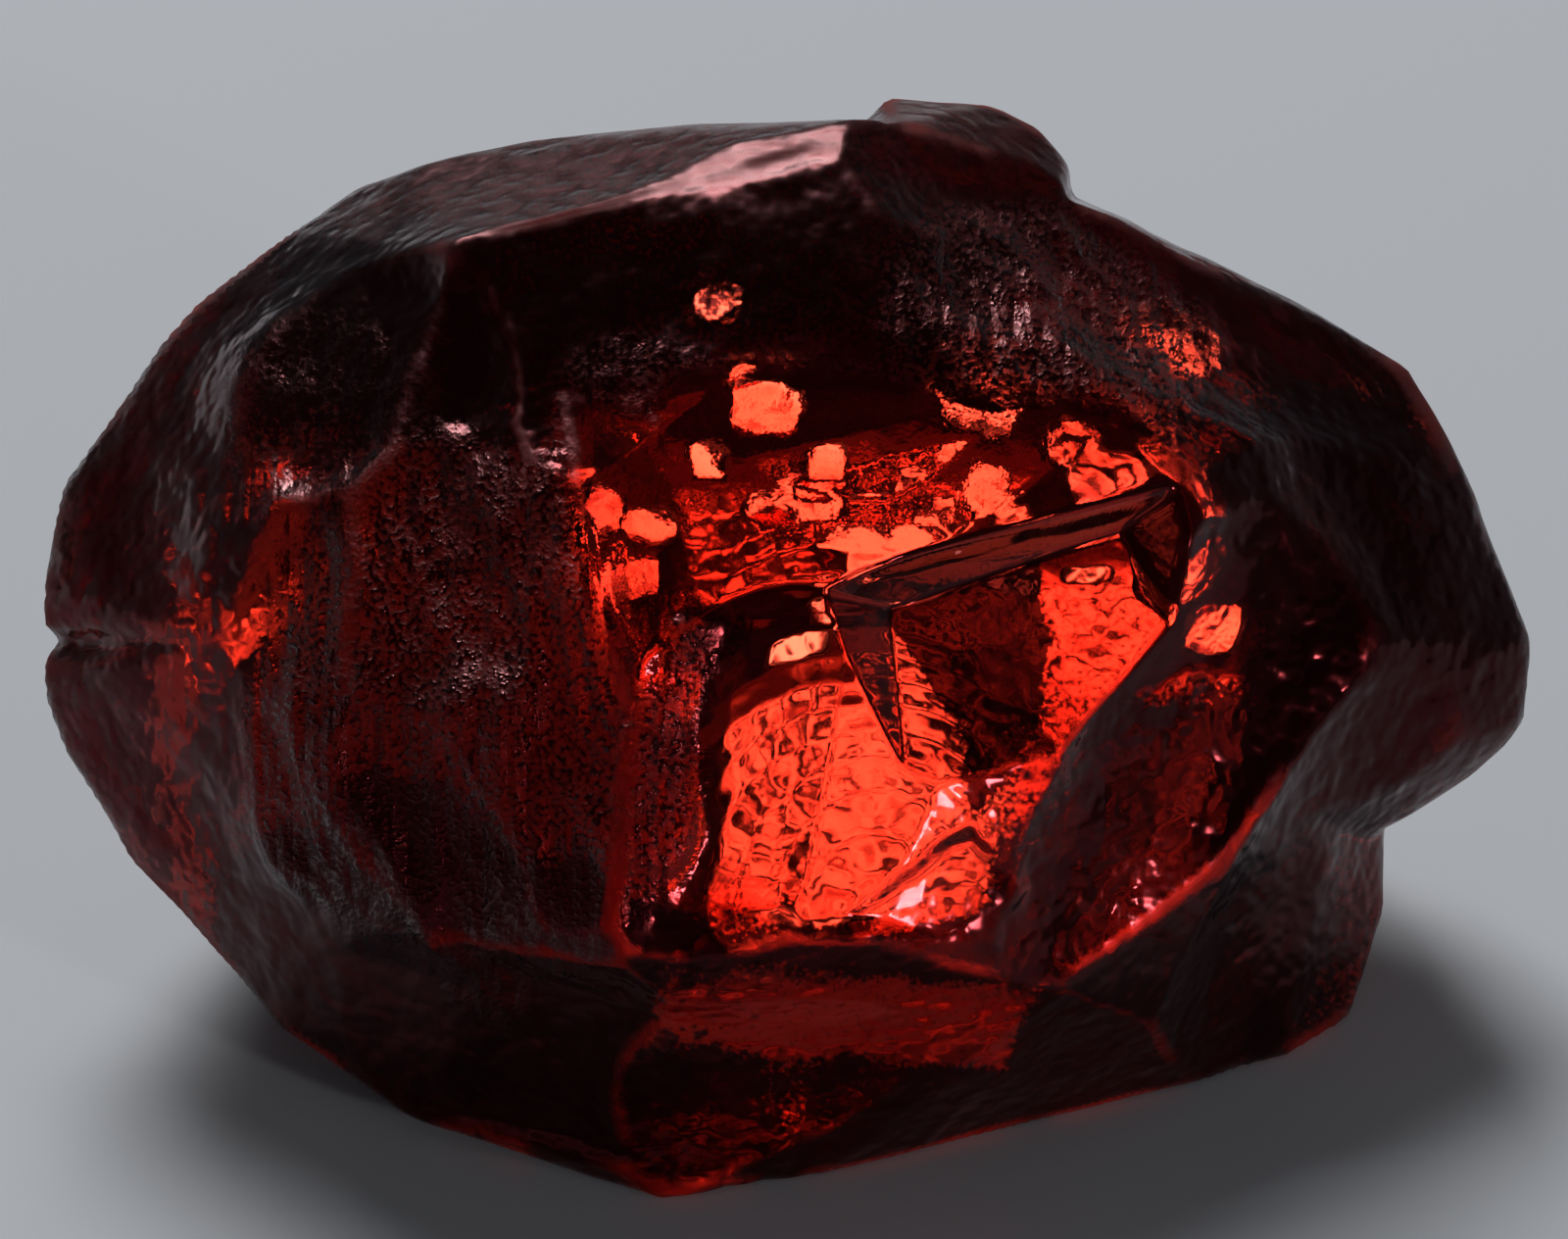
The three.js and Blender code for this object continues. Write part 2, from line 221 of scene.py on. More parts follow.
def cloud(points, seed):
    """Value noise: random numbers at the corners of each cell, blended with t*t*(3-2t) along each axis."""
    low = np.floor(points)
    t = points - low
    t = t * t * (3.0 - 2.0 * t)
    cell = low.astype(np.int64).astype(np.uint32)
    total = np.zeros(len(points))
    for corner in np.ndindex(2, 2, 2):
        share = np.prod(np.where(np.array(corner, bool), t, 1.0 - t), axis=1)
        total += share * scatter(cell + np.array(corner, np.uint32), seed)
    return total


def clouds(points, seed, octaves):
    """The sum of several clouds, each twice as fine and half as strong as the one before."""
    return sum(cloud(points * 2.0**k, seed + k) * 0.5**k for k in range(octaves))


def ridges(points, seed, octaves):
    """Sharp-crested noise: 1 - |cloud| summed over octaves, brought to about -1 to 1."""
    total = sum((1.0 - 2.0 * np.abs(cloud(points * 2.0**k, seed + k))) * 0.5**k for k in range(octaves))
    return total / 1.6


def chips(points, seed):
    """Shallow scoops that meet in sharp crests, from about -1 to 1. Each cell has a centre at a random place
    in it, a random depth and a random tilt. A point takes the lowest of the tilted paraboloids around it."""
    low = np.floor(points)
    lowest = np.full(len(points), 9.0)
    for step in np.ndindex(3, 3, 3):
        home = low + np.array(step) - 1.0
        cell = home.astype(np.int64).astype(np.uint32)
        jog = np.stack([scatter(cell, seed + k) for k in range(3)], axis=1)
        tilt = np.stack([scatter(cell, seed + 3 + k) for k in range(3)], axis=1)
        off = points - (home + 0.5 + 0.42 * jog)
        bowl = np.sum(off * off, axis=1) + 0.55 * np.sum(off * tilt, axis=1) + 0.3 * scatter(cell, seed + 6)
        lowest = np.minimum(lowest, bowl)
    return np.clip(lowest * 2.2, -1.0, 1.2)


def smooth(value, low, high):
    """0 below low, 1 above high and t*t*(3-2t) between."""
    t = np.clip((value - low) / (high - low), 0.0, 1.0)
    return t * t * (3.0 - 2.0 * t)


def within(places, middle, reach):
    """0 at the middle of an ellipsoid and 1 on its surface: the length of the offset over the half-axes."""
    return np.linalg.norm((places - np.array(middle)) / np.array(reach), axis=1)


def patch(places, middle, reach, seed):
    """A ragged patch: 1 inside the ellipsoid of this middle and these half-axes, fading to 0 past its rim."""
    return 1.0 - smooth(within(places, middle, reach) + 0.18 * cloud(places * 1.3, seed), 0.75, 1.1)


def area(places, corners, soft):
    """1 inside all the sides of an outline on the face and 0 outside: the least distance to its sides, made
    smooth over a width "soft". It fades out behind the face."""
    corners = np.array(corners)
    ahead = np.roll(corners, -1, axis=0) - corners
    inward = np.stack([-ahead[:, 1], ahead[:, 0]], axis=1) / np.linalg.norm(ahead, axis=1, keepdims=True)
    depth = np.min([(places[:, :2] - c) @ n for c, n in zip(corners, inward)], axis=0)
    ragged = 0.3 * soft * clouds(places * 2.5, 51, 2)
    return smooth(depth + ragged, -soft / 2.0, soft / 2.0) * smooth(places[:, 2], -1.0, 0.0)


# ---- The stone's mesh --------------------------------------------------------------------------


def cube_sphere(n):
    """A closed sphere of six square grids. On each, a point (a, b) from -1 to 1 is the direction
    (1, tan(a pi/4), tan(b pi/4)), turned to face each of the six ways. Shared edges are merged."""
    steps = np.tan(np.linspace(-1.0, 1.0, n + 1) * math.pi / 4.0)
    a, b = np.meshgrid(steps, steps, indexing="ij")
    one = np.ones_like(a)
    i, j = np.meshgrid(np.arange(n), np.arange(n), indexing="ij")
    corner = (i * (n + 1) + j).ravel()
    quad = np.stack([corner, corner + n + 1, corner + n + 2, corner + 1], axis=1)
    points, quads = [], []
    for axis in range(3):
        for side in (1.0, -1.0):
            spots = [None, None, None]
            spots[axis], spots[(axis + 1) % 3], spots[(axis + 2) % 3] = one * side, a, b
            quads.append((quad if side > 0 else quad[:, ::-1]) + len(points) * (n + 1) ** 2)
            points.append(np.stack(spots, axis=-1).reshape(-1, 3))
    points, quads = np.concatenate(points), np.concatenate(quads)
    keys = np.round(points * 1e6).astype(np.int64)
    _, first, same = np.unique(keys, axis=0, return_index=True, return_inverse=True)
    points, quads = points[first], same.ravel()[quads]
    return points / np.linalg.norm(points, axis=1, keepdims=True), quads


def mesh_from(name, points, quads):
    """A mesh of four-sided faces, from points in metres."""
    mesh = bpy.data.meshes.new(name)
    mesh.vertices.add(len(points))
    mesh.vertices.foreach_set("co", np.asarray(points, np.float32).ravel())
    mesh.loops.add(quads.size)
    mesh.loops.foreach_set("vertex_index", np.asarray(quads, np.int32).ravel())
    mesh.polygons.add(len(quads))
    mesh.polygons.foreach_set("loop_start", np.arange(0, quads.size, quads.shape[1], dtype=np.int32))
    mesh.update(calc_edges=True)
    mesh.validate()
    return mesh


def merged_copy(node):
    """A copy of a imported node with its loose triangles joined, for the grid to be carried onto."""
    copy = bpy.data.objects.new("solid_copy", node.data.copy())
    work = bmesh.new()
    work.from_mesh(copy.data)
    bmesh.ops.remove_doubles(work, verts=work.verts, dist=1e-7)
    work.to_mesh(copy.data)
    work.free()
    bpy.context.collection.objects.link(copy)
    return copy


def carried_out(directions, quads, heart):
    """The grid's points carried straight out from the heart onto the solid's surface, in mm."""
    solid = merged_copy(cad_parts[NODE])
    seed = bpy.data.objects.new("seed", mesh_from("seed", heart + directions * GRID_START * MM, quads))
    bpy.context.collection.objects.link(seed)
    wrap = seed.modifiers.new("onto the solid", "SHRINKWRAP")
    wrap.target = solid
    wrap.wrap_method = "PROJECT"
    wrap.use_positive_direction = True
    wrap.use_negative_direction = False
    shown = seed.evaluated_get(bpy.context.evaluated_depsgraph_get())
    points = np.empty(len(directions) * 3)
    shown.data.vertices.foreach_get("co", points)
    for gone in (seed, solid):
        bpy.data.objects.remove(gone)
    return points.reshape(-1, 3) / MM


def neighbours(quads, count):
    """The ends of every edge, both ways round, and how many edges each point has."""
    ends = np.concatenate([quads, np.roll(quads, -1, axis=1)]).reshape(2, -1)
    edges = np.unique(np.sort(ends.T, axis=1), axis=0)
    start, end = np.concatenate([edges, edges[:, ::-1]]).T
    return start, end, np.bincount(start, minlength=count)


def eased(values, ring, rounds, share):
    """Each value moved towards the mean of its neighbours by a share, several times over."""
    start, end, many = ring
    for _ in range(rounds):
        mean = np.stack([np.bincount(start, v[end], len(many)) for v in values.T], axis=1) / many[:, None]
        values = values + share * (mean - values)
    return values


def normals_of(points, quads):
    """The cross product of each quad's diagonals, added up at its corners and brought to length 1."""
    p = points[quads]
    across = np.cross(p[:, 2] - p[:, 0], p[:, 3] - p[:, 1])
    total = np.stack([np.bincount(quads.ravel(), np.repeat(c, 4), len(points)) for c in across.T], axis=1)
    return total / np.maximum(np.linalg.norm(total, axis=1, keepdims=True), 1e-12)


def relief(points, normals, props):
    """How far each point moves out, in mm: broad waves and shallow scoops all over, long chips and
    striations where it is hackly, arcs in the window, a low swelling at the upper left, and grain. None of it
    on the resting break."""
    f = to_face(points)
    warp = np.stack([cloud(f * 0.9, 11 + k) for k in range(3)], axis=1)
    g = f + 0.3 * warp
    rough = rough_zone(f)
    waves = 0.045 * clouds(g * 0.6, 21, 2)
    scoops = 0.028 * chips(g * 0.75, 71)
    long_chips = 0.085 * chips(g @ LEANING * np.array([1.5, 0.62, 1.5]), 81)
    small_chips = 0.035 * chips(g @ LEANING * np.array([4.2, 1.5, 4.2]), 91)
    striae = 0.016 * ridges(g * np.array([6.5, 0.8, 6.5]), 31, 2)
    far = np.linalg.norm(f - np.array(ARC_HEART), axis=1) + 0.12 * cloud(f * 1.1, 45)
    arcs = 0.0035 * np.abs(np.sin(far * math.pi / ARC_STEP)) * patch(f, *ARC_REACH, 7)
    grain = 0.005 * clouds(f * 4.5, 61, 1)
    broken = (1.0 - 0.6 * rough) * scoops + rough * (long_chips + small_chips + striae) + grain
    height = waves + broken
    sill = SILL_HEIGHT * (1.0 - smooth(within(f, SILL, SILL_REACH), 0.3, 1.0))
    height = height * (1.0 - 0.8 * calm(f, points)) + arcs + sill
    rest = smooth(-normals[:, 2], 0.6, 0.9) * (1.0 - smooth(points[:, 2], 0.1, 0.5))
    return height * (1.0 - rest) * props.relief


def bevel(points):
    """How much is worn off the long ridge: whatever stands over a narrow plane that runs along it, and whose
    depth wavers a little."""
    start, end = from_face(RIDGE)
    long = np.linalg.norm(end - start)
    along = (end - start) / long
    facing = np.array(BEVEL_FACING) - along * np.dot(along, BEVEL_FACING)
    facing /= np.linalg.norm(facing)
    off = points - start
    t = off @ along
    away = np.linalg.norm(off - np.outer(t, along), axis=1)
    near = smooth(t, -0.1, 0.3) * (1.0 - smooth(t, long - 0.3, long + 0.1)) * (1.0 - smooth(away, 0.3, 0.5))
    over = off @ facing + BEVEL_DEPTH * (1.0 + 0.8 * cloud(points * 1.4, 39))
    return (np.clip(over, 0.0, None) * near)[:, None] * facing


def spark(f):
    """How far the small smooth break at the foot of the window lies from the skin, along "near": a shallow
    dome inside its outline, level with the skin at its top."""
    inside = area(f, SPARK_OUTLINE, SPARK_RIM)
    a, u = f[:, 0] - SPARK[0], f[:, 1] - SPARK[1]
    skin = np.average(f[:, 2] - SPARK_SLOPE[0] * a - SPARK_SLOPE[1] * u, weights=inside + 1e-9)
    dome = skin + SPARK_SLOPE[0] * a + SPARK_SLOPE[1] * u - (a * a + u * u) / (2.0 * SPARK_RADIUS)
    return (dome - f[:, 2]) * inside


def calm(f, points):
    """1 where the skin is smooth: the clear part of the face and the side that the light comes in by."""
    return np.maximum(clear_part(f), light_side(points))


def clear_part(f):
    """1 in the clear part of the face."""
    return np.maximum.reduce([area(f, *row) for row in CLEAR])


def light_side(points):
    """1 where the key light comes in."""
    return 1.0 - smooth(np.minimum.reduce([within(points, *row) for row in LIT_BACK]), 0.8, 1.2)


def rough_zone(f):
    """How hackly the face is, from 0 to 1."""
    return np.maximum.reduce([much * patch(f, middle, reach, seed) for much, middle, reach, seed in HACKLY])


def stone_mesh(props):
    """The stone's skin and its inner fractures in one mesh, with the attributes that its material reads."""
    heart = from_face(GRID_HEART) * MM
    directions, quads = cube_sphere(props.grid)
    directions = directions + CLOSER * face_axes()[2]
    directions /= np.linalg.norm(directions, axis=1, keepdims=True)
    points = carried_out(directions, quads, heart)
    ring = neighbours(quads, len(points))
    points = eased(points, ring, 2, 0.45)
    normals = eased(normals_of(points, quads), ring, 6, 0.6)
    normals /= np.linalg.norm(normals, axis=1, keepdims=True)
    bend = wear_and_painted_highlight(points, normals, ring)
    points = points + normals * relief(points, normals, props)[:, None]
    points = points + spark(to_face(points))[:, None] * face_axes()[2] - bevel(points)
    points[:, 2] = np.maximum(points[:, 2], 0.0)
    for row in FRACTURES:
        gap, sides = fracture(*row)
        quads = np.concatenate([quads, sides + len(points)])
        points = np.concatenate([points, gap])
        bend = np.concatenate([bend, np.zeros(len(gap))])
        normals = np.concatenate([normals, np.zeros((len(gap), 3))])
    mesh = mesh_from("painite_stone", points * MM, quads)
    f = to_face(points)
    write(mesh, "rough", rough_zone(f))
    lit_lips = np.maximum.reduce([area(f, *row) for row in FROSTED_LIPS_WITH_PAINTED_HIGHLIGHT])
    # Wear and a pink painted highlight on outer edges and the frosted lips.
    write(mesh, "wear_and_painted_highlight", np.maximum(bend * smooth(clouds(f * 1.6, 57, 2), -0.5, 0.4), lit_lips))
    write(mesh, "dull", smooth(normals[:, 2], 0.75, 0.95) * smooth(f[:, 1], 2.6, 3.4))
    # Painted shade: black where little light gets through, clear where the key light comes in, over a random
    # mottle.
    write(mesh, "painted_shade_and_mottling", painted_shade_and_mottling(f, points))
    write(mesh, "clear", clear_part(f))
    # Painted glow: the window, and half as much where the key light comes in.
    write(mesh, "painted_glow", np.maximum(area(f, *CLEAR[0]), 0.5 * light_side(points)))
    return mesh


def wear_and_painted_highlight(points, normals, ring):
    """1 on outer edges and 0 elsewhere: how far each point stands over the mean of its neighbours. Worn
    there, and tinted pink as a painted highlight.
    """
    start, end, many = ring
    mean = np.stack([np.bincount(start, p[end], len(many)) for p in points.T], axis=1) / many[:, None]
    span = np.bincount(start, np.linalg.norm(points[start] - points[end], axis=1), len(many)) / many
    bend = np.sum((points - mean) * normals, axis=1) / span
    return smooth(eased(bend[:, None], ring, 3, 0.5)[:, 0], 0.022, 0.075)


def painted_shade_and_mottling(f, points):
    """How dark the skin is: a random mottle all over, made clear where the key light comes in as painted
    light, with each row of the painted shade table laid over it."""
    level = (0.5 + 0.22 * clouds(f * 0.5, 27, 2)) * (1.0 - light_side(points))
    for corners, soft, value in PAINTED_SHADE_AREAS:
        inside = area(f, corners, soft)
        level = level + (value - level) * inside
    return level


def write(mesh, name, values):
    """One number for each point, kept in the mesh under a name."""
    mesh.attributes.new(name, "FLOAT", "POINT").data.foreach_set("value", np.asarray(values, np.float32))


def fracture(middle, half, lean, square):
    """A flat closed gap in the crystal. At (s, angle), s from 0 at the middle to 1 at the rim, its outline is
    the curve |x|^k + |y|^k = 1 stretched to the half sizes, and each side opens by 1 - s^6. Its plane falls
    by tan(lean) along X and Y. Its faces look into the gap, away from the crystal."""
    spokes, rings = 24, 5
    angle = np.linspace(0.0, 2.0 * math.pi, spokes, endpoint=False)
    c, s = np.cos(angle), np.sin(angle)
    reach = (np.abs(c) ** square + np.abs(s) ** square) ** (-1.0 / square)
    share = np.linspace(0.0, 1.0, rings + 1)[1:]
    x = half[0] * np.outer(share, reach * c)
    y = half[1] * np.outer(share, reach * s)
    z = FRACTURE_GAP * np.outer(1.0 - share**6, np.ones(spokes))
    side = np.stack([x, y, z], axis=-1).reshape(-1, 3)
    inner = side[: (rings - 1) * spokes]
    poles = [[0.0, 0.0, FRACTURE_GAP], [0.0, 0.0, -FRACTURE_GAP]]
    points = np.concatenate([side, inner * [1.0, 1.0, -1.0], poles])
    i, j = np.meshgrid(np.arange(rings - 1), np.arange(spokes), indexing="ij")
    a, b = (i * spokes + j).ravel(), (i * spokes + (j + 1) % spokes).ravel()
    upper = np.stack([a, b, b + spokes, a + spokes], axis=1)
    under = len(side)
    lower = np.where(upper < (rings - 1) * spokes, upper + under, upper)[:, ::-1]
    k = np.arange(0, spokes, 2)
    top = np.stack([np.full(len(k), len(points) - 2), (k + 2) % spokes, k + 1, k], axis=1)
    bottom = np.full(len(k), len(points) - 1)
    low = np.stack([bottom, k + under, k + 1 + under, (k + 2) % spokes + under], axis=1)
    points[:, 2] -= points[:, :2] @ np.tan(np.radians(lean))
    return points + np.array(middle), np.concatenate([upper, lower, top, low])


# ---- Node helpers ------------------------------------------------------------------------------


def add(tree, kind, inputs=(), **settings):
    """A node with its settings, and each input set to a value or fed from a socket."""
    node = tree.nodes.new(kind)
    for key, value in settings.items():
        setattr(node, key, value)
    for key, value in dict(inputs).items():
        if isinstance(value, bpy.types.NodeSocket):
            tree.links.new(value, node.inputs[key])
        else:
            node.inputs[key].default_value = value
    return node


def scaled_sum(tree, value, factor, rest):
    """value * factor + rest."""
    return add(tree, "ShaderNodeMath", {0: value, 1: factor, 2: rest}, operation="MULTIPLY_ADD").outputs[0]


def ramp(tree, value, low, high, start=0.0, end=1.0, **settings):
    """Start where the value is low or less, end where it is high or more, and a ramp between."""
    inputs = {"Value": value, "From Min": low, "From Max": high, "To Min": start, "To Max": end}
    return add(tree, "ShaderNodeMapRange", inputs, **settings).outputs["Result"]


def mixed_colour(tree, factor, first, second):
    inputs = {"Factor": factor, "A": first, "B": second}
    return add(tree, "ShaderNodeMix", inputs, data_type="RGBA").outputs["Result"]


def mixed_value(tree, factor, first, second):
    """A mix of two numbers, which are this node's sockets 2 and 3."""
    return add(tree, "ShaderNodeMix", {"Factor": factor, 2: first, 3: second}, data_type="FLOAT").outputs[0]


def stretched(tree, vector, scale, rotation=(0.0, 0.0, 0.0)):
    """The vector scaled along each axis and then turned."""
    inputs = {"Vector": vector, "Rotation": rotation, "Scale": scale}
    return add(tree, "ShaderNodeMapping", inputs).outputs["Vector"]


def skin_colour(tree, marks, hair):
    """Red with streaks, painted near white where it glows, black as painted shade, pink as painted edge
    highlights.
    """
    patchy = add(
        tree, "ShaderNodeMath", {0: marks["painted_shade_and_mottling"], 1: scaled_sum(tree, hair, 1.1, -0.55)}, operation="ADD"
    )
    # Painted shade: the share of black, from the painted shade mask and the streaks.
    black = ramp(tree, patchy.outputs[0], 0.3, 0.7, interpolation_type="SMOOTHSTEP")
    # Painted glow: near white in the window and where the key light comes in.
    skin = mixed_colour(tree, marks["painted_glow"], SKIN_RED, PAINTED_GLOW_TINT)
    # Painted highlight: pink on outer edges and the frosted lips.
    return mixed_colour(tree, marks["wear_and_painted_highlight"], mixed_colour(tree, black, skin, PAINTED_SHADE_BLACK), PAINTED_HIGHLIGHT_PINK)


def skin_roughness(tree, marks, grain, hair):
    """Glossy with a little grain, with frosted streaks where it is hackly, satin on the shelf behind the
    ridge, dull on worn edges and polished in the clear part."""
    frost = ramp(tree, hair, 0.42, 0.62, 0.5, 0.0)
    dull = ramp(tree, grain, 0.3, 0.7, 0.06, 0.2)
    rough = scaled_sum(tree, marks["rough"], frost, dull)
    satin = scaled_sum(tree, marks["dull"], 0.2, rough)
    edge = scaled_sum(tree, marks["wear_and_painted_highlight"], 0.55, satin)
    return mixed_value(tree, marks["clear"], edge, 0.05)


def skin_bump(tree, marks, face, grain, hair):
    """Grain, and fine threads between long slivers where it is hackly. Weaker in the clear part."""
    slivers = stretched(tree, face, SLIVER_SCALE)
    flakes = add(tree, "ShaderNodeTexVoronoi", {"Vector": slivers, "Scale": 1.0}, voronoi_dimensions="2D")
    split = scaled_sum(tree, flakes.outputs["Distance"], -1.6, hair)
    height = mixed_value(tree, marks["rough"], grain, split)
    strength = scaled_sum(tree, marks["clear"], -0.6, 0.7)
    inputs = {"Height": height, "Strength": strength, "Distance": BUMP_DEPTH}
    return add(tree, "ShaderNodeBump", inputs).outputs["Normal"]


def crystal_material(props):
    """Clear crystal with a volume absorption, under a skin that the mesh's attributes vary."""
    material = bpy.data.materials.new("painite_crystal_clear_red")
    material.use_nodes = True
    tree = material.node_tree
    tree.nodes.clear()
    marks = {
        name: add(tree, "ShaderNodeAttribute", attribute_name=name).outputs["Fac"]
        for name in ("rough", "wear_and_painted_highlight", "dull", "painted_shade_and_mottling", "clear", "painted_glow")
    }
    place = add(tree, "ShaderNodeTexCoord").outputs["Object"]
    face = stretched(tree, place, (1.0 / MM, 1.0 / MM, 1.0 / MM), (LEAN, 0.0, 0.0))
    grain = add(tree, "ShaderNodeTexNoise", {"Vector": face, "Scale": 5.0, "Detail": 1.0}).outputs["Fac"]
    threads = stretched(tree, face, THREAD_SCALE)
    hair = add(tree, "ShaderNodeTexNoise", {"Vector": threads, "Scale": 1.0, "Detail": 1.0}).outputs["Fac"]
    shader = add(
        tree,
        "ShaderNodeBsdfPrincipled",
        {
            "Base Color": skin_colour(tree, marks, hair),
            "Roughness": skin_roughness(tree, marks, grain, hair),
            "Normal": skin_bump(tree, marks, face, grain, hair),
            "IOR": props.ior,
            "Transmission Weight": 1.0,
            "Metallic": 0.0,
            "Specular Tint": SPECULAR_TINT,
        },
    )
    inside = add(
        tree,
        "ShaderNodeVolumeAbsorption",
        {"Color": (*props.absorption, 1.0), "Density": props.density / MM},
    )
    out = add(tree, "ShaderNodeOutputMaterial")
    tree.links.new(shader.outputs["BSDF"], out.inputs["Surface"])
    tree.links.new(inside.outputs["Volume"], out.inputs["Volume"])
    return material


# ---- The stage ---------------------------------------------------------------------------------


def floor_mesh(flat, sweep, height, turns=128, rings=48):
    """A dish: a flat disc, then a quarter circle of radius "sweep" up to a wall. A point is the profile at
    s from 0 to 1 turned by an angle from 0 to one turn."""
    arc = math.pi / 2.0 * np.linspace(0.0, 1.0, rings)
    out = np.concatenate([[flat * 0.02, flat * 0.3], flat + sweep * np.sin(arc), [flat + sweep]])
    up = np.concatenate([[0.0, 0.0], sweep * (1.0 - np.cos(arc)), [sweep + height]]) - FLOOR_GAP
    angle = np.linspace(0.0, 2.0 * math.pi, turns, endpoint=False)
    points = np.stack(
        [np.outer(out, np.cos(angle)), np.outer(out, np.sin(angle)), np.outer(up, np.ones(turns))], axis=-1
    ).reshape(-1, 3)
    i, j = np.meshgrid(np.arange(len(out) - 1), np.arange(turns), indexing="ij")
    a, b = (i * turns + j).ravel(), (i * turns + (j + 1) % turns).ravel()
    quads = np.stack([a, a + turns, b + turns, b], axis=1)
    k = np.arange(0, turns, 2)
    middle = np.full(len(k), len(points))
    points = np.concatenate([points, [[0.0, 0.0, -FLOOR_GAP]]])
    quads = np.concatenate([quads, np.stack([middle, k, k + 1, (k + 2) % turns], axis=1)])
    return mesh_from("floor", points, quads)


def plain_material(name, colour, roughness):
    material = bpy.data.materials.new(name)
    material.use_nodes = True
    shader = material.node_tree.nodes["Principled BSDF"]
    shader.inputs["Base Color"].default_value = (*colour, 1.0)
    shader.inputs["Roughness"].default_value = roughness
    return material


def softbox(name, azimuth, elevation, distance, size, colour, power):
    """A flat light that looks at the stone. Azimuth 0 is in front of it (-Y) and 90 on its right (+X)."""
    az, el = math.radians(azimuth), math.radians(elevation)
    way = np.array([math.sin(az) * math.cos(el), -math.cos(az) * math.cos(el), math.sin(el)])
    lamp = bpy.data.lights.new(name, "AREA")
    lamp.shape = "RECTANGLE"
    lamp.size, lamp.size_y = size
    lamp.energy = power
    lamp.color = colour
    holder = bpy.data.objects.new(name, lamp)
    holder.location = way * distance + np.array([0.0, 0.0, LIGHT_AIM * MM])
    holder.rotation_euler = (math.radians(90.0 - elevation), 0.0, az)
    bpy.context.collection.objects.link(holder)


# ---- What a user would change ------------------------------------------------------------------


class PainiteStoneSettings(bpy.types.PropertyGroup):
    grid: bpy.props.IntProperty(
        name="Grid", description="Squares along each side of the six grids", default=124, min=16, max=126
    )
    relief: bpy.props.FloatProperty(
        name="Relief",
        description="Strength of the chips, striations and grain",
        default=1.0,
        min=0.0,
        max=2.0,
    )
    absorption: bpy.props.FloatVectorProperty(
        name="Crystal colour",
        description="What is left of white light inside the crystal",
        subtype="COLOR",
        default=(0.82, 0.48, 0.38),
        min=0.0,
        max=1.0,
    )
    density: bpy.props.FloatProperty(
        name="Density",
        description="Absorption for each millimetre of crystal",
        default=1.0,
        min=0.0,
        max=20.0,
    )
    ior: bpy.props.FloatProperty(
        name="IOR", description="Refractive index of painite", default=1.80, min=1.0, max=3.0
    )


class PainiteStageSettings(bpy.types.PropertyGroup):
    floor_colour: bpy.props.FloatVectorProperty(
        name="Floor colour",
        description="Colour of the floor",
        subtype="COLOR",
        default=(0.415, 0.435, 0.465),
        min=0.0,
        max=1.0,
    )
    key_power: bpy.props.FloatProperty(
        name="Key light",
        description="Power of the light behind the stone",
        default=1.55,
        min=0.0,
        unit="POWER",
    )
    side_power: bpy.props.FloatProperty(
        name="Side light",
        description="Power of the small light at the right",
        default=0.3,
        min=0.0,
        unit="POWER",
    )
    fill: bpy.props.FloatProperty(
        name="Fill", description="Brightness of the room around the stone", default=0.07, min=0.0, max=2.0
    )
    lens: bpy.props.FloatProperty(
        name="Lens", description="Focal length of the camera in millimetres", default=200.0, min=20.0
    )
    distance: bpy.props.FloatProperty(
        name="Distance",
        description="From the camera to the middle of the stone's face",
        default=69.7 * MM,
        min=0.01,
        subtype="DISTANCE",
    )


# ---- Operators ---------------------------------------------------------------------------------


class PAINITE_OT_stone(bpy.types.Operator):
    """Makes the stone's finely broken surface and its clear red crystal"""

    bl_idname = "painite.stone"
    bl_label = "Make the stone"

    def execute(self, context):
        props = context.scene.painite_stone
        stone = bpy.data.objects.new("painite_stone", stone_mesh(props))
        context.collection.objects.link(stone)
        stone.data.materials.append(crystal_material(props))
        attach(stone, "root")
        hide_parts(NODE)
        return {"FINISHED"}


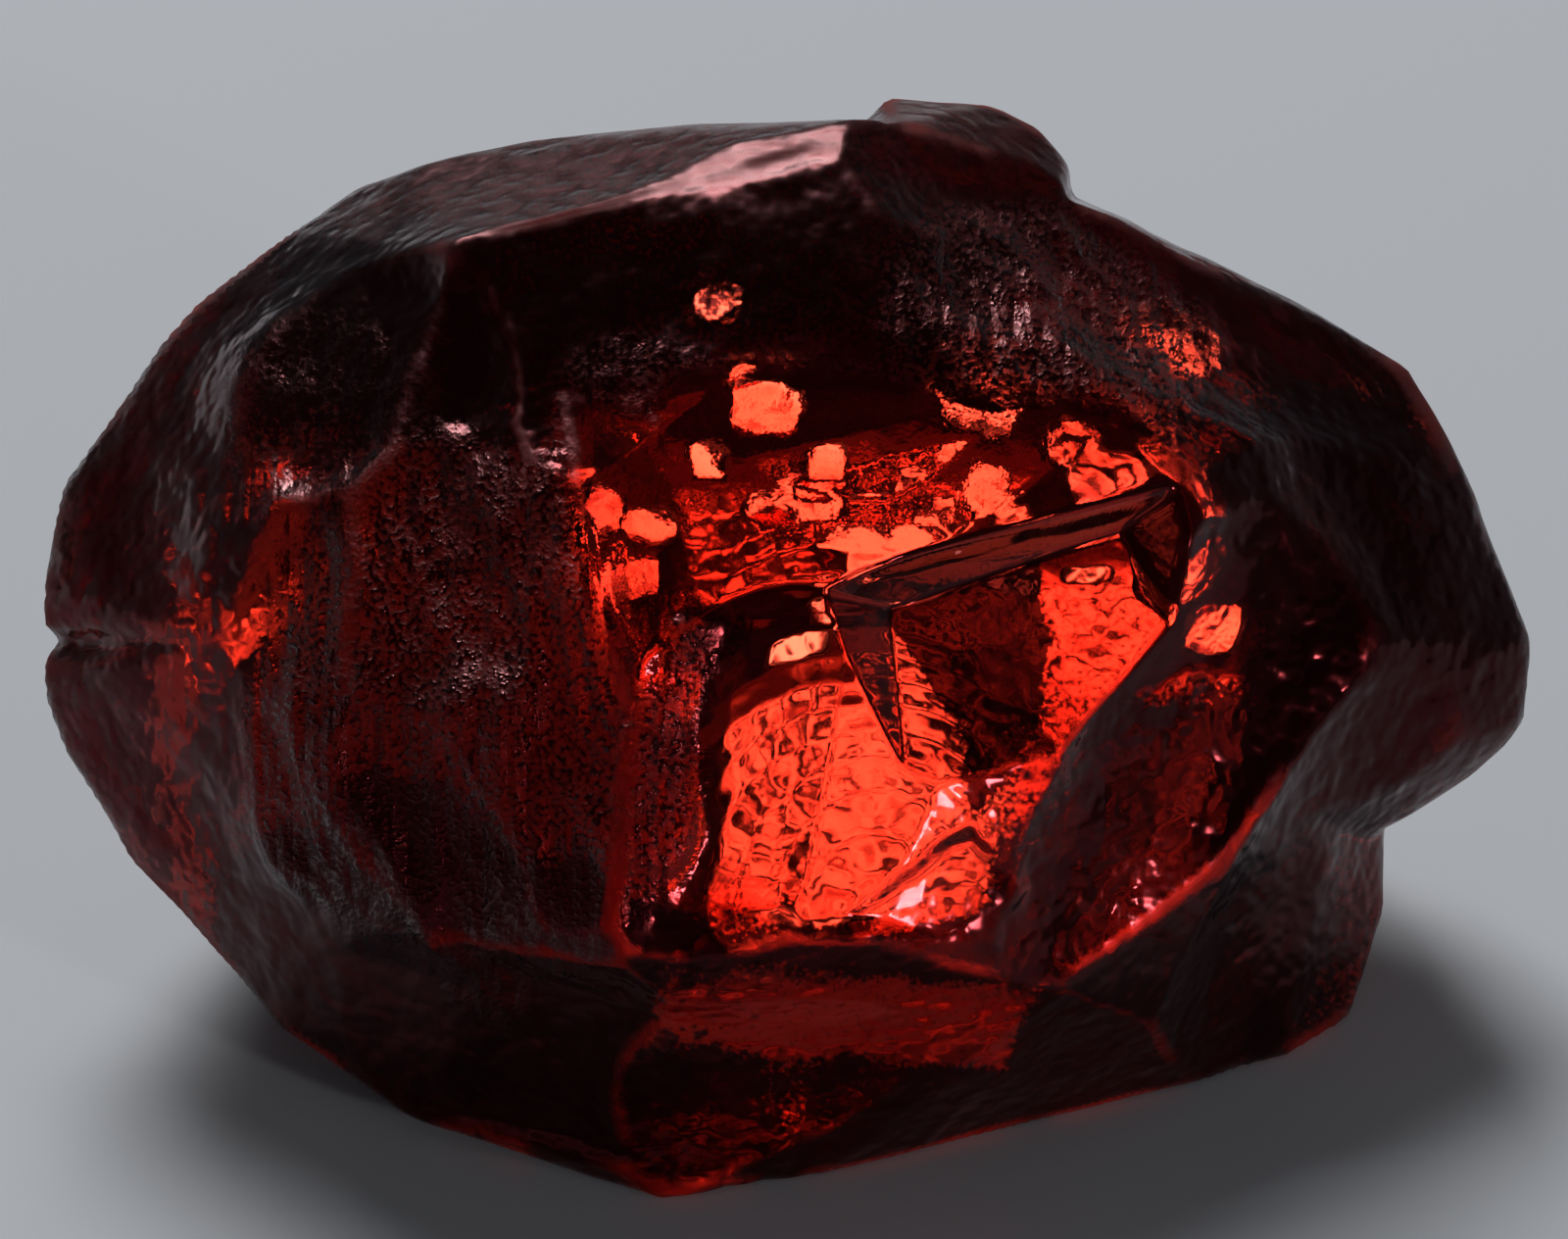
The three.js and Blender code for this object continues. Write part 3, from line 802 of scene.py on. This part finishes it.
class PAINITE_OT_stage(bpy.types.Operator):
    """Lays the floor and sets up the lights, the room and the camera"""

    bl_idname = "painite.stage"
    bl_label = "Set the stage"

    def execute(self, context):
        props = context.scene.painite_stage
        floor = bpy.data.objects.new("floor", floor_mesh(*FLOOR_SHAPE))
        floor.data.materials.append(plain_material("floor_paper", props.floor_colour, 0.7))
        context.collection.objects.link(floor)
        softbox("key_light", *KEY_LIGHT, props.key_power)
        softbox("side_light", *SIDE_LIGHT, props.side_power)

        world = bpy.data.worlds.new("room")
        world.use_nodes = True
        background = world.node_tree.nodes["Background"]
        background.inputs["Color"].default_value = ROOM_COLOUR
        background.inputs["Strength"].default_value = props.fill
        context.scene.world = world

        lens = bpy.data.cameras.new("camera")
        lens.lens = props.lens
        lens.sensor_width = 36.0
        lens.clip_start = 0.001
        camera = bpy.data.objects.new("camera", lens)
        camera.location = from_face(AIM) * MM + face_axes()[2] * props.distance
        camera.rotation_euler = (math.radians(90.0) - LEAN, 0.0, 0.0)
        context.collection.objects.link(camera)
        context.scene.camera = camera
        context.scene.view_settings.view_transform = "Standard"
        return {"FINISHED"}


class PAINITE_PT_panel(bpy.types.Panel):
    bl_label = "Rough painite"
    bl_space_type = "VIEW_3D"
    bl_region_type = "UI"
    bl_category = "Painite"

    def draw(self, context):
        for title, props, action in (
            ("Stone", context.scene.painite_stone, PAINITE_OT_stone.bl_idname),
            ("Stage", context.scene.painite_stage, PAINITE_OT_stage.bl_idname),
        ):
            box = self.layout.box()
            box.label(text=title)
            for key in props.__annotations__:
                box.prop(props, key)
            box.operator(action)


CLASSES = (PainiteStoneSettings, PainiteStageSettings, PAINITE_OT_stone, PAINITE_OT_stage, PAINITE_PT_panel)


def register():
    for item in CLASSES:
        bpy.utils.register_class(item)
    bpy.types.Scene.painite_stone = bpy.props.PointerProperty(type=PainiteStoneSettings)
    bpy.types.Scene.painite_stage = bpy.props.PointerProperty(type=PainiteStageSettings)


def unregister():
    del bpy.types.Scene.painite_stage
    del bpy.types.Scene.painite_stone
    for item in reversed(CLASSES):
        bpy.utils.unregister_class(item)


def main():
    register()
    bpy.ops.painite.stone()
    bpy.ops.painite.stage()


if __name__ == "__main__":
    main()
